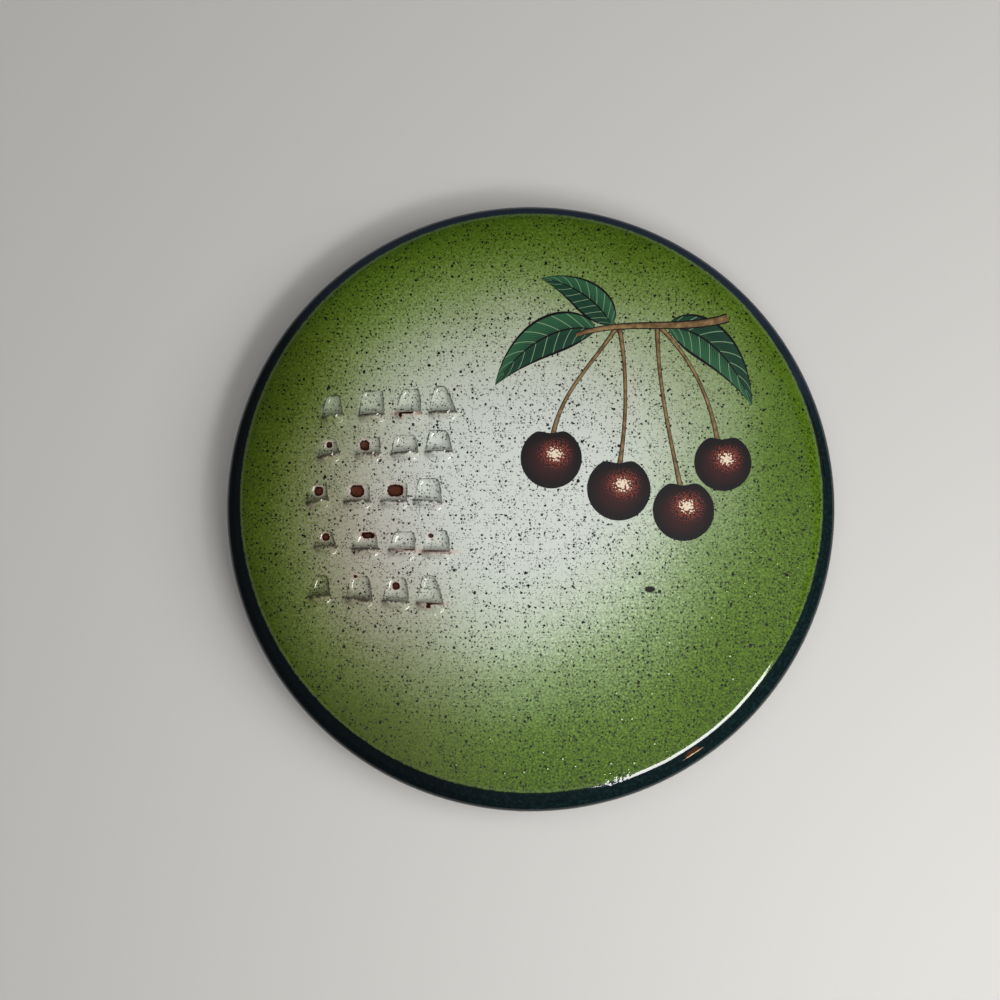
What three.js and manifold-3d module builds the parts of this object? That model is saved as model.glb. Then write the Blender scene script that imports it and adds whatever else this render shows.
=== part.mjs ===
// A round ceramic garlic grater plate.
// A thick red clay disc stands on a turned foot ring. Twenty teeth are raised on its top, each at the
// edge of the pocket that the tool left behind it. A pale and green glaze covers the top, a dark glaze
// wraps the rim, and the underside stays bare.
// Millimetres, +Z up. The origin is on the table, under the middle of the plate. The teeth lie towards -X,
// and each tooth's pocket lies on its +Y side.
import * as THREE from "three";
import { mergeVertices } from "three/addons/utils/BufferGeometryUtils.js";
import Module from "manifold-3d";

const wasm = await Module();
wasm.setup();

// The plate
const plateDiameter = 120;
const plateHeight = 10;
const rimWidth = 3.8;
const shoulderReach = 2.7;
const sideReach = 4.4;
const lowerEdgeRadius = 1.7;
const glazeThickness = 0.4;
const glazeLineAngle = 55;

// The foot ring
const footHeight = 1.6;
const footWidth = 5;
const footInset = 17;
const footDraft = 0.5;

// The teeth and their pockets
const toothHeight = 1.6;
const toothFront = 2.3;
const ridgeThickness = 0.35;
const endSlope = 0.7;
const toeTaper = 0.6;
const pocketDepth = 1.5;
const pocketEntryDepth = 0.5;
const pocketLedge = 0.15;
const pocketCornerRadius = 0.6;
const windowGap = 0.12;

// The grid: rows run from the top of the plate down, columns from the rim inwards
const firstColumnFromRim = 19.6;
const rowHingeFromFirstColumn = 11;
const rows = [
  { ridge: 17.0, shift: 1.3, turn: 2.5, pocket: 4.4 },
  { ridge: 9.2, shift: 0.6, turn: 2.0, pocket: 3.2 },
  { ridge: -0.3, shift: -1.4, turn: 0.0, pocket: 3.5 },
  { ridge: -9.6, shift: 0.3, turn: -2.4, pocket: 3.2 },
  { ridge: -19.4, shift: -0.8, turn: -4.0, pocket: 4.3 },
];
const columns = [
  { offset: 0, width: 4.2, mouth: 2.5, extra: -0.3 },
  { offset: 7.7, width: 5.0, mouth: 3.7, extra: -0.2 },
  { offset: 14.9, width: 5.1, mouth: 3.8, extra: 0.0 },
  { offset: 21.6, width: 5.3, mouth: 3.3, extra: 0.5 },
];

// How finely the round shapes are faceted
const turnSegments = 72;
const shoulderSteps = 8;
const lowerEdgeSteps = 4;
const curveSteps = 4;

// What follows from the driving dimensions
const plateRadius = plateDiameter / 2;
const fieldRadius = plateRadius - rimWidth;
const clayTop = plateHeight - glazeThickness;
const clayRadius = plateRadius - glazeThickness;
const edgeCentre = new THREE.Vector2(clayRadius - lowerEdgeRadius, footHeight + lowerEdgeRadius);
const footOuterRadius = plateRadius - footInset;
const toothRise = toothHeight + glazeThickness;
const cutMargin = 1;

const clayMaterial = new THREE.MeshStandardMaterial({ color: 0x8a4a33, roughness: 0.9, metalness: 0 });
const fieldMaterial = new THREE.MeshStandardMaterial({ color: 0x8fa878, roughness: 0.15, metalness: 0 });
const rimMaterial = new THREE.MeshStandardMaterial({ color: 0x0c1a26, roughness: 0.12, metalness: 0 });
const toothMaterial = new THREE.MeshStandardMaterial({ color: 0xb9c4b4, roughness: 0.15, metalness: 0 });

// Solids and booleans

function solidOf(geometry) {
  const bare = geometry.clone();
  bare.deleteAttribute("normal");
  bare.deleteAttribute("uv");
  const merged = mergeVertices(bare);
  return new wasm.Manifold(
    new wasm.Mesh({
      numProp: 3,
      vertProperties: merged.attributes.position.array,
      triVerts: new Uint32Array(merged.index.array),
    }),
  );
}

function geometryOf(solid) {
  const mesh = solid.getMesh();
  const geometry = new THREE.BufferGeometry();
  geometry.setAttribute("position", new THREE.BufferAttribute(mesh.vertProperties, 3));
  geometry.setIndex(new THREE.BufferAttribute(mesh.triVerts, 1));
  geometry.computeVertexNormals();
  return geometry;
}

function named(name, geometry, material) {
  const mesh = new THREE.Mesh(geometry, material);
  mesh.name = name;
  return mesh;
}

// A profile of (radius, height) points, turned about the plate's upright axis.
function turned(profile) {
  return new THREE.LatheGeometry(profile, turnSegments).rotateX(Math.PI / 2);
}

// An outline drawn on two axes of the tooth's own frame and extruded along the third.
function extruded(shape, length, across, up) {
  const along = new THREE.Vector3().crossVectors(across, up);
  const geometry = new THREE.ExtrudeGeometry(shape, {
    depth: length,
    bevelEnabled: false,
    curveSegments: curveSteps,
  });
  geometry.translate(0, 0, -length / 2);
  return geometry.applyMatrix4(new THREE.Matrix4().makeBasis(across, up, along));
}

const alongRidge = new THREE.Vector3(1, 0, 0);
const towardsPocket = new THREE.Vector3(0, 1, 0);
const upwards = new THREE.Vector3(0, 0, 1);

// The rim, as the clay's edge and the direction that its glaze grows in

function clayEdge() {
  const from = new THREE.Vector2(fieldRadius, clayTop);
  const to = new THREE.Vector2(clayRadius, edgeCentre.y);
  const shoulder = new THREE.CubicBezierCurve(
    from,
    new THREE.Vector2(from.x + shoulderReach, from.y),
    new THREE.Vector2(to.x, to.y + sideReach),
    to,
  );
  const edge = [];
  for (let step = 0; step <= shoulderSteps; step++) {
    const tangent = shoulder.getTangent(step / shoulderSteps);
    const outwards = new THREE.Vector2(-tangent.y, tangent.x);
    edge.push({ point: shoulder.getPoint(step / shoulderSteps), outwards });
  }
  return edge;
}

function lowerEdge(toAngle) {
  const edge = [];
  for (let step = 1; step <= lowerEdgeSteps; step++) {
    const angle = -THREE.MathUtils.degToRad((toAngle * step) / lowerEdgeSteps);
    const outwards = new THREE.Vector2(Math.cos(angle), Math.sin(angle));
    edge.push({ point: outwards.clone().multiplyScalar(lowerEdgeRadius).add(edgeCentre), outwards });
  }
  return edge;
}

const glazedEdge = [...clayEdge(), ...lowerEdge(glazeLineAngle)];
const bareEdge = lowerEdge(90).filter(({ outwards }) => outwards.y < glazedEdge.at(-1).outwards.y);

function clayDisc() {
  const side = [...glazedEdge, ...bareEdge].map(({ point }) => point).reverse();
  return solidOf(turned([new THREE.Vector2(0, footHeight), ...side, new THREE.Vector2(0, clayTop)]));
}

function rimGlaze() {
  const inside = glazedEdge.map(({ point }) => point);
  const outside = glazedEdge.map(({ point, outwards }) => {
    return point.clone().addScaledVector(outwards, glazeThickness);
  });
  return turned([...inside, ...outside.reverse(), inside[0]]);
}

function fieldGlaze() {
  return solidOf(
    turned([
      new THREE.Vector2(0, clayTop),
      new THREE.Vector2(fieldRadius, clayTop),
      new THREE.Vector2(fieldRadius, plateHeight),
      new THREE.Vector2(0, plateHeight),
    ]),
  );
}

function footRing() {
  const innerRadius = footOuterRadius - footWidth;
  const bottomOuter = new THREE.Vector2(footOuterRadius - footDraft, 0);
  return turned([
    bottomOuter,
    new THREE.Vector2(footOuterRadius, footHeight),
    new THREE.Vector2(innerRadius, footHeight),
    new THREE.Vector2(innerRadius + footDraft, 0),
    bottomOuter,
  ]);
}

// One tooth, in a frame whose origin is the middle of its ridge, on the clay's top

function toothSolid({ width }) {
  const side = new THREE.Shape();
  side.moveTo(0, 0);
  side.lineTo(0, toothRise);
  side.lineTo(-ridgeThickness, toothRise);
  side.quadraticCurveTo(-toothFront / 2 - ridgeThickness, toothRise, -toothFront, 0);
  const front = new THREE.Shape();
  front.moveTo(-width / 2, 0);
  front.lineTo(width / 2, 0);
  front.quadraticCurveTo(width / 2, toothRise, width / 2 - endSlope, toothRise);
  front.lineTo(-width / 2 + endSlope, toothRise);
  front.quadraticCurveTo(-width / 2, toothRise, -width / 2, 0);
  const plan = new THREE.Shape();
  plan.moveTo(-width / 2, 0);
  plan.lineTo(-width / 2 + toeTaper, -toothFront);
  plan.lineTo(width / 2 - toeTaper, -toothFront);
  plan.lineTo(width / 2, 0);
  const wedge = solidOf(extruded(side, width, towardsPocket, upwards));
  const ends = solidOf(extruded(front, 2 * (toothFront + cutMargin), alongRidge, upwards));
  const taper = solidOf(extruded(plan, 2 * (toothRise + cutMargin), alongRidge, towardsPocket));
  return wedge.intersect(ends).intersect(taper);
}

// The pocket's outline from above, with its two far corners rounded.
function pocketOutline({ width, mouth, pocket }, ledge) {
  const slant = new THREE.Vector2((mouth - width) / 2, pocket).setLength(pocketCornerRadius);
  const corner = mouth / 2;
  const shape = new THREE.Shape();
  shape.moveTo(-width / 2, ledge);
  shape.lineTo(width / 2, ledge);
  shape.lineTo(corner - slant.x, pocket - slant.y);
  shape.quadraticCurveTo(corner, pocket, corner - pocketCornerRadius, pocket);
  shape.lineTo(-corner + pocketCornerRadius, pocket);
  shape.quadraticCurveTo(-corner, pocket, -corner + slant.x, pocket - slant.y);
  return shape;
}

function pocketCutter(tooth) {
  const floor = new THREE.Shape();
  floor.moveTo(pocketLedge, -pocketDepth);
  floor.lineTo(tooth.pocket, -pocketEntryDepth);
  floor.lineTo(tooth.pocket, cutMargin);
  floor.lineTo(pocketLedge, cutMargin);
  const ramp = solidOf(extruded(floor, tooth.width + cutMargin, towardsPocket, upwards));
  const outline = pocketOutline(tooth, pocketLedge);
  const walls = solidOf(extruded(outline, 2 * (pocketDepth + cutMargin), alongRidge, towardsPocket));
  return ramp.intersect(walls);
}

// The opening in the glaze through which the tooth stands and its pocket is cut.
function windowCutter({ width, mouth, pocket }) {
  const opened = {
    width: width + 2 * windowGap,
    mouth: mouth + 2 * windowGap,
    pocket: pocket + windowGap,
  };
  const outline = pocketOutline(opened, 0);
  const toe = new THREE.Shape();
  toe.moveTo(-opened.width / 2, windowGap);
  toe.lineTo(-opened.width / 2 + toeTaper, -toothFront - windowGap);
  toe.lineTo(opened.width / 2 - toeTaper, -toothFront - windowGap);
  toe.lineTo(opened.width / 2, windowGap);
  const length = 2 * (glazeThickness + cutMargin);
  const behind = solidOf(extruded(outline, length, alongRidge, towardsPocket));
  return behind.add(solidOf(extruded(toe, length, alongRidge, towardsPocket)));
}

// Where each tooth stands: a row is straight, and turned about its own hinge point

function toothAt(row, column) {
  const turn = THREE.MathUtils.degToRad(row.turn);
  const fromHinge = column.offset - rowHingeFromFirstColumn;
  const hingeX = firstColumnFromRim - plateRadius + rowHingeFromFirstColumn + row.shift;
  const place = new THREE.Vector3(
    hingeX + fromHinge * Math.cos(turn),
    row.ridge + fromHinge * Math.sin(turn),
    clayTop,
  );
  return { place, turn, width: column.width, mouth: column.mouth, pocket: row.pocket + column.extra };
}

const teeth = rows.flatMap((row, r) => {
  return columns.map((column, c) => ({ name: `tooth_r${r + 1}_c${c + 1}`, ...toothAt(row, column) }));
});

function placed(solid, { place, turn }) {
  return solid.rotate(0, 0, THREE.MathUtils.radToDeg(turn)).translate(place.x, place.y, place.z);
}

// The assembly

const plate = new THREE.Group();
let body = clayDisc();
let field = fieldGlaze();
for (const tooth of teeth) {
  body = body.subtract(placed(pocketCutter(tooth), tooth));
  field = field.subtract(placed(windowCutter(tooth), tooth));
}
plate.add(named("clay_body", geometryOf(body), clayMaterial));
plate.add(named("foot_ring", footRing(), clayMaterial));
plate.add(named("field_glaze", geometryOf(field), fieldMaterial));
plate.add(named("rim_glaze", rimGlaze(), rimMaterial));
for (const tooth of teeth) {
  const mesh = named(tooth.name, geometryOf(toothSolid(tooth)), toothMaterial);
  mesh.position.copy(tooth.place);
  mesh.rotation.z = tooth.turn;
  plate.add(mesh);
}

export default plate;
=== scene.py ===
# %% [markdown]
# # A garlic grater plate
# This lesson dresses a small ceramic plate that grates garlic: red clay under a pale and green glaze on
# the face and a dark one round the rim, with a block of teeth on the left. The measured solids come
# first, as a fixed frame, and every piece takes its place from them.

# %% Load the frame
import math

import bmesh
import bpy
import numpy as np
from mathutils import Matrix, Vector
from mathutils.geometry import interpolate_bezier


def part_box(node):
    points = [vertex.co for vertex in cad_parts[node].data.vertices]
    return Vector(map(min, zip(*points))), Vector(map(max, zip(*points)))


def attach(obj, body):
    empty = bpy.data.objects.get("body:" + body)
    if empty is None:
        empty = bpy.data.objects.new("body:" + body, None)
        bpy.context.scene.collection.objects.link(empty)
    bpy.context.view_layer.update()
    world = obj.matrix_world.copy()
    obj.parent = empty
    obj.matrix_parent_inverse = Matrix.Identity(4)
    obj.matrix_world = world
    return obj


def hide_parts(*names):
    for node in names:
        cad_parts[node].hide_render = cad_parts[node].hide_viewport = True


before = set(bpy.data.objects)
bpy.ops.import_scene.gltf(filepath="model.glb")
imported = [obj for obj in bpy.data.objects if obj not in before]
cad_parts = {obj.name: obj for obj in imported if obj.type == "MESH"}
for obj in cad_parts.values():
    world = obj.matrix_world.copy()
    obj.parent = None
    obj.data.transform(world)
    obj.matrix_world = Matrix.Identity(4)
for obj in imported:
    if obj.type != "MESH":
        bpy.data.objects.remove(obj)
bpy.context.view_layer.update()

MM = 0.001

# %% [markdown]
# The sizes that the pieces share are read from the solids: the table is at height 0, the field glaze
# gives the top face, and the rim glaze gives the widest circle. They are kept in millimetres, as a potter
# would say them.

# %% Read the plate's sizes
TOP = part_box("field_glaze")[1].z / MM
FIELD_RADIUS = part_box("field_glaze")[1].x / MM
PLATE_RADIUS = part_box("rim_glaze")[1].x / MM
CLAY_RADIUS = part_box("clay_body")[1].x / MM
GLAZE = PLATE_RADIUS - CLAY_RADIUS
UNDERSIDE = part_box("clay_body")[0].z / MM
GLAZE_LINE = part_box("rim_glaze")[0].z / MM
FOOT_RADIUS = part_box("foot_ring")[1].x / MM
print(f"plate {2 * PLATE_RADIUS:.0f} mm across, top face at {TOP:.1f} mm")
print(f"glaze {GLAZE:.2f} mm thick, foot ring {2 * FOOT_RADIUS:.0f} mm across")

# %% [markdown]
# Modelling by operator means: select something, then act on it. An operator acts on everything that is
# selected, so each piece starts from an empty selection, and points are picked by a test on their place
# or by their vertex group.

# %% Helpers for selecting and editing
SHARP_CORNER = 50


def start_clean():
    """Nothing selected, nothing in edit mode."""
    if bpy.context.mode != "OBJECT":
        bpy.ops.object.mode_set(mode="OBJECT")
    bpy.ops.object.select_all(action="DESELECT")


def choose(piece):
    """Selects one piece and nothing else."""
    start_clean()
    piece.select_set(True)
    bpy.context.view_layer.objects.active = piece


def named(name):
    """Names what was just added."""
    piece = bpy.context.active_object
    piece.name = name
    return piece


def edit(piece):
    """Opens a piece for editing with nothing picked."""
    choose(piece)
    bpy.ops.object.mode_set(mode="EDIT")
    bpy.ops.mesh.select_mode(type="VERT")
    bpy.ops.mesh.select_all(action="DESELECT")


def pick(piece, test):
    """Selects the points of an open piece whose place, in millimetres, passes the test."""
    shape = bmesh.from_edit_mesh(piece.data)
    for point in shape.verts:
        point.select_set(test(point.co / MM))
    shape.select_flush_mode()
    bmesh.update_edit_mesh(piece.data)


def pick_open_edges(piece):
    """Selects the edges that have a face on one side only."""
    bpy.ops.mesh.select_mode(type="EDGE")
    shape = bmesh.from_edit_mesh(piece.data)
    for line in shape.edges:
        line.select_set(len(line.link_faces) < 2)
    bmesh.update_edit_mesh(piece.data)


def crease(value):
    """Creases the edges between the picked points."""
    bpy.ops.mesh.select_mode(type="EDGE")
    bpy.ops.transform.edge_crease(value=value)
    bpy.ops.mesh.select_mode(type="VERT")


def pick_all():
    bpy.ops.mesh.select_all(action="SELECT")


def move(x, y, z):
    """Moves what is picked by so many millimetres."""
    bpy.ops.transform.translate(value=(x * MM, y * MM, z * MM))


def stretch(x, y, z, about=(0, 0, 0)):
    """Scales what is picked about a place in millimetres."""
    bpy.ops.transform.resize(value=(x, y, z), center_override=Vector(about) * MM)


def face_outwards():
    """Turns every face of the open piece outwards."""
    pick_all()
    bpy.ops.mesh.normals_make_consistent(inside=False)


def finish_modifiers(piece):
    """Applies each modifier in turn, as by hand."""
    choose(piece)
    for name in [modifier.name for modifier in piece.modifiers]:
        bpy.ops.object.modifier_apply(modifier=name)


def smooth(piece, levels):
    """A subdivision surface, applied, and smooth shading up to a sharp corner."""
    modifier = piece.modifiers.new("Smooth", "SUBSURF")
    modifier.levels = modifier.render_levels = levels
    modifier.use_limit_surface = False
    finish_modifiers(piece)
    bpy.ops.object.shade_smooth_by_angle(angle=math.radians(SHARP_CORNER))


def settle(piece, slot, *nodes):
    """Says which body the piece rides on and which solids it stands for. Its slot, the finish it takes, is
    not used.
    """
    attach(piece, "root")
    if nodes:
        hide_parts(*nodes)
    print(f"{piece.name}: {len(piece.data.polygons)} faces")


print("corners of more than", SHARP_CORNER, "degrees stay sharp")

# %% [markdown]
# A tooth on the real plate is a lip of wet clay, pushed up with a tool that leaves a pocket behind it.
# The maker did this twenty times by eye, so no two teeth match. Where each ridge stands is read from the
# solids; its turn and the shape of its pocket are listed row by row.

# %% Where the teeth stand
ROWS, COLUMNS = 5, 4
BY_HAND = [  # the ridge's turn in degrees, the pocket's length, the width of its mouth, its lean
    [(11, 4.1, 2.9, 0.2), (3, 4.7, 4.2, 0.2), (3, 4.7, 3.6, 0.4), (2, 5.0, 2.5, -0.5)],
    [(14, 3.3, 2.6, 0.4), (5, 3.2, 4.0, 0.4), (4, 3.4, 4.3, 0.2), (1, 4.1, 3.7, -0.1)],
    [(10, 3.7, 3.5, 0.3), (1, 3.4, 4.4, 0.4), (0, 3.7, 4.6, 0.5), (-6, 4.4, 4.2, 0.0)],
    [(1, 3.2, 2.7, -0.2), (1, 3.1, 4.0, 0.3), (-5, 3.5, 4.2, 0.4), (-3, 4.0, 4.3, 0.0)],
    [(3, 3.9, 2.7, 0.3), (-6, 4.3, 3.9, 0.0), (-4, 4.6, 3.8, 0.0), (-6, 5.4, 2.6, -0.5)],
]
TOOTH_FRONT, FRONT_FLARE = 1.5, 0.15
RIDGE_AT = Vector((0.18, 2.65))


class Tooth:
    """One tooth: the middle of its ridge, its turn and the outline of its pocket, in millimetres."""

    def __init__(self, row, column):
        low, high = (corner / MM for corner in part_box(f"tooth_r{row + 1}_c{column + 1}"))
        self.width = high.x - low.x
        self.middle = Vector(((low.x + high.x) / 2, low.y)) + RIDGE_AT
        turn, self.pocket, self.mouth, self.lean = BY_HAND[row][column]
        self.turn = math.radians(turn)

    def half_width(self, towards):
        """Half the tooth's width, towards millimetres behind the ridge."""
        if towards <= 0:
            return self.width / 2 + FRONT_FLARE + FRONT_FLARE * towards / TOOTH_FRONT
        return self.width / 2 + (self.mouth - self.width) / 2 * towards / self.pocket

    def place(self, along, towards):
        """A point beside the ridge. The pocket straightens up towards its far end."""
        share = min(max(towards / self.pocket, 0), 1)
        turn = self.turn * (1 - share)
        return self.middle + Vector((
            along * math.cos(turn) - towards * math.sin(turn) + self.lean * share,
            along * math.sin(turn) + towards * math.cos(turn),
        ))


teeth = [[Tooth(row, column) for column in range(COLUMNS)] for row in range(ROWS)]
for row in teeth:
    print("ridges at", [(round(tooth.middle.x, 1), round(tooth.middle.y, 1)) for tooth in row])

# %% [markdown]
# The face could be a flat disc with the teeth stuck on, but glaze runs over everything in one skin, and
# the light would show the joins. So one grid holds the whole block. Each tooth gets a cell of it, with
# lines where the shape needs them: along the ridge, round the pocket's edge and across its floor. A line
# between two cells is halfway between one tooth's foot and the next pocket.

# %% Lay out the tooth block on one grid
MARGIN = 1.2
SUPPORT, FOOT_SWEEP = 0.35, 0.6
WALL = 0.28
ROUND_CORNER = {"floor_north": 0.18, "lip": 0.55}
MOUND_END = 1.0
MOUND_LINES = ("foot", "front", "brow")
INNER = 0.45
ACROSS = [
    (-1, -SUPPORT), (-1, 0), (-1, WALL), (-INNER, 0), (0, 0), (INNER, 0), (1, -WALL), (1, 0), (1, SUPPORT),
]
EDGE_LINE, END_LINE = 2, 3
LINES = {  # millimetres behind the ridge, share of the pocket's length, height over the face
    "foot_line": (-TOOTH_FRONT - FOOT_SWEEP, 0, 0),
    "foot": (-TOOTH_FRONT, 0, 0.2),
    "front": (-0.7 * TOOTH_FRONT, 0, 0.82),
    "brow": (-0.4 * TOOTH_FRONT, 0, 1.38),
    "crest": (0, 0, 1.58),
    "wall": (0.15, 0, -0.35),
    "floor_south": (0.5, 0, -1.1),
    "floor_middle": (0, 0.55, -0.95),
    "floor_north": (-WALL, 1, -0.6),
    "lip": (0, 1, 0),
    "lip_line": (SUPPORT, 1, 0),
}
ALONG = list(LINES)
CELL_ACROSS, CELL_ALONG = len(ACROSS) + 1, len(ALONG) + 1


def mean(places):
    """The middle of a few points."""
    return sum(places, Vector((0, 0))) / len(places)


def own_place(row, column, u, v):
    """A grid point inside a cell, on the lines of the cell's own tooth."""
    tooth = teeth[row][column]
    name = ALONG[v - 1]
    behind, part = LINES[name][:2]
    towards = behind + part * tooth.pocket
    share, extra = ACROSS[u - 1]
    if abs(extra) == WALL and name in MOUND_LINES:
        extra *= MOUND_END / WALL
    along = share * tooth.half_width(towards) + extra
    if abs(share) == 1:
        along -= ROUND_CORNER.get(name, 0) * share
    return tooth.place(along, towards)


def beside(index, size, count):
    """The cells beside a grid line, with the next line in each, or the one cell that the line is in."""
    cell, line = divmod(index, size)
    if line:
        return [(cell, line)]
    return [(c, n) for c, n in ((cell - 1, size - 1), (cell, 1)) if 0 <= c < count]


own_places = [
    own_place(row, column, u, v)
    for row in range(ROWS) for column in range(COLUMNS)
    for u in range(1, CELL_ACROSS) for v in range(1, CELL_ALONG)
]
WEST, EAST = min(p.x for p in own_places) - MARGIN, max(p.x for p in own_places) + MARGIN
SOUTH, NORTH = min(p.y for p in own_places) - MARGIN, max(p.y for p in own_places) + MARGIN


def cage_place(i, j):
    """The place of a grid point: between cells halfway to the neighbours, and straight on the outside."""
    across = beside(i, CELL_ACROSS, COLUMNS)
    along = beside(j, CELL_ALONG, ROWS)
    place = mean([own_place(ROWS - 1 - line, column, u, v) for column, u in across for line, v in along])
    place.x = {0: WEST, COLUMNS * CELL_ACROSS: EAST}.get(i, place.x)
    place.y = {0: SOUTH, ROWS * CELL_ALONG: NORTH}.get(j, place.y)
    return place


start_clean()
bpy.ops.mesh.primitive_grid_add(
    x_subdivisions=COLUMNS * CELL_ACROSS, y_subdivisions=ROWS * CELL_ALONG, size=1, calc_uvs=False
)
face = named("glazed_face")
groups = {name: face.vertex_groups.new(name=name) for name in ALONG + ["end", "edge"]}
for point in face.data.vertices:
    i = round((point.co.x + 0.5) * COLUMNS * CELL_ACROSS)
    j = round((point.co.y + 0.5) * ROWS * CELL_ALONG)
    u, v = i % CELL_ACROSS, j % CELL_ALONG
    if u and v:
        inside = END_LINE <= u <= CELL_ACROSS - END_LINE
        if inside:
            groups[ALONG[v - 1]].add([point.index], 1, "REPLACE")
        if u in (END_LINE, CELL_ACROSS - END_LINE):
            groups["end"].add([point.index], 1, "REPLACE")
        walled = ALONG.index("crest") < v - 1 <= ALONG.index("lip")
        side = walled and u in (EDGE_LINE, CELL_ACROSS - EDGE_LINE)
        if side or (inside and ALONG[v - 1] == "lip"):
            groups["edge"].add([point.index], 1, "REPLACE")
    place = cage_place(i, j)
    point.co = Vector((place.x, place.y, TOP)) * MM
print(f"tooth block: x {WEST:.1f} to {EAST:.1f}, y {SOUTH:.1f} to {NORTH:.1f} mm, {ROWS * COLUMNS} cells")

# %% [markdown]
# Now the flat grid is pushed up and down, line by line, for all the teeth at once, and the ends of the
# ridges droop. A crease keeps the crest and the pocket's edge crisp when the grid is smoothed later. A
# little seeded randomness stands for the maker's hand.

# %% Raise the ridges and sink the pockets
END_DROOP = 0.7
CREST_CREASE = 0.75
EDGE_CREASE = 0.55
HAND_WOBBLE = 0.05


def pick_group(piece, name):
    """Selects the points of an open piece that are in a group."""
    bpy.ops.mesh.select_all(action="DESELECT")
    piece.vertex_groups.active_index = piece.vertex_groups[name].index
    bpy.ops.object.vertex_group_select()


edit(face)
for name, (behind, part, height) in LINES.items():
    pick_group(face, name)
    move(0, 0, height)
pick_group(face, "end")
stretch(1, 1, END_DROOP, (0, 0, TOP))
for name, strength in (("crest", CREST_CREASE), ("edge", EDGE_CREASE)):
    pick_group(face, name)
    crease(strength)
for seed, name in enumerate(["front", "brow", "floor_south", "floor_middle", "floor_north"]):
    pick_group(face, name)
    bpy.ops.transform.vertex_random(offset=HAND_WOBBLE * MM, seed=seed)
print("teeth raised", LINES["crest"][2], "mm, pockets", -LINES["floor_south"][2], "mm deep")

# %% [markdown]
# The block's open edge is drawn out in rings until it meets a circle, each point straight away from the
# middle of the block so that no two lines cross. Six last rings roll over the shoulder, past the border
# of the two glazes, so that the seam is where both sides are dark.

# %% Draw the face out to its edge
SHOULDER_START = 54.4
SHOULDER = [(55.0, -0.005), (55.6, -0.02), (56.2, -0.07), (56.8, -0.14), (57.4, -0.21), (58.0, -0.28)]
FACE_EDGE = SHOULDER[-1][0]
SEAM = TOP + sum(drop for reach, drop in SHOULDER)
FACE_RINGS = 5

BLOCK_MIDDLE = mean([tooth.middle for row in teeth for tooth in row])


def to_circle(place, radius):
    """Where a line from the middle of the block through a point meets a circle about the plate's middle."""
    ray = (place - BLOCK_MIDDLE).normalized()
    half = BLOCK_MIDDLE.dot(ray)
    along = math.sqrt(half * half - BLOCK_MIDDLE.length_squared + radius * radius) - half
    return BLOCK_MIDDLE + ray * along


def extrude_edge(piece):
    """Draws a new ring out of the open edge, in the same place, and leaves it picked."""
    pick_open_edges(piece)
    bpy.ops.mesh.extrude_edges_move(TRANSFORM_OT_translate={"value": (0, 0, 0)})
    return [point for point in bmesh.from_edit_mesh(piece.data).verts if point.select]


for ring in range(FACE_RINGS):
    for point in extrude_edge(face):
        place = point.co.xy / MM
        place = place.lerp(to_circle(place, SHOULDER_START), 1 / (FACE_RINGS - ring))
        point.co.xy = place * MM
reach = SHOULDER_START
for radius, drop in SHOULDER:
    extrude_edge(face)
    stretch(radius / reach, radius / reach, 1)
    move(0, 0, drop)
    reach = radius
face_outwards()
bpy.ops.object.mode_set(mode="OBJECT")
print("face:", len(face.data.polygons), "faces before smoothing")

# %% [markdown]
# Where glaze runs over a sharp edge it pulls thin, and the red clay shows through as a dark line. Along the
# crest that line is also painted shadow, where the ridge shades the pocket behind it. The pocket's edge is
# a group of the grid already, and three more are added for the finish: the crest, the mound in front of it
# and the pocket's floor. Smoothing spreads a group's weight to the next line of the grid, and that gives
# each its soft width.

# %% Mark the edges and smooth the face
THIN_ROWS = {
    "crest_line_and_shadow": {"wall": 0.1, "crest": 1, "brow": 0.5},
    "mound": {"front": 1, "brow": 1},
    "pocket": {"floor_south": 1, "floor_middle": 1, "floor_north": 1},
}
for name, lines in THIN_ROWS.items():
    group = face.vertex_groups.new(name=name)
    for row in range(ROWS):
        for column in range(COLUMNS):
            for line, weight in lines.items():
                j = row * CELL_ALONG + 1 + ALONG.index(line)
                start = j * (COLUMNS * CELL_ACROSS + 1) + column * CELL_ACROSS
                points = range(start + EDGE_LINE, start + CELL_ACROSS - EDGE_LINE + 1)
                group.add(list(points), weight, "REPLACE")
smooth(face, 2)
print("face:", len(face.data.polygons), "faces after smoothing")

# %% [markdown]
# A skin with no thickness can't be printed or weighed, so the face is closed into a disc. Its open edge
# is drawn straight down, pressed flat below the deepest pocket, and filled.

# %% Close the face into a disc
FACE_BACK = 8.2
deepest = min(point.co.z for point in face.data.vertices) / MM

edit(face)
extrude_edge(face)
stretch(1, 1, 0, (0, 0, FACE_BACK))
bpy.ops.mesh.edge_face_add()
face_outwards()
bpy.ops.object.mode_set(mode="OBJECT")
bpy.ops.object.shade_smooth_by_angle(angle=math.radians(SHARP_CORNER))
print(f"face closed at {FACE_BACK} mm, deepest pocket at {deepest:.2f} mm")

# %% [markdown]
# In some pockets and on some ridges the glaze drew back in the kiln and left bare red clay. Each spot is
# a squarish ellipse, given from the middle of its ridge. Every point of the face keeps how many
# millimetres inside the nearest spot it lies, less than 0 outside, and the finish cuts a ragged outline
# from that.

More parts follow.
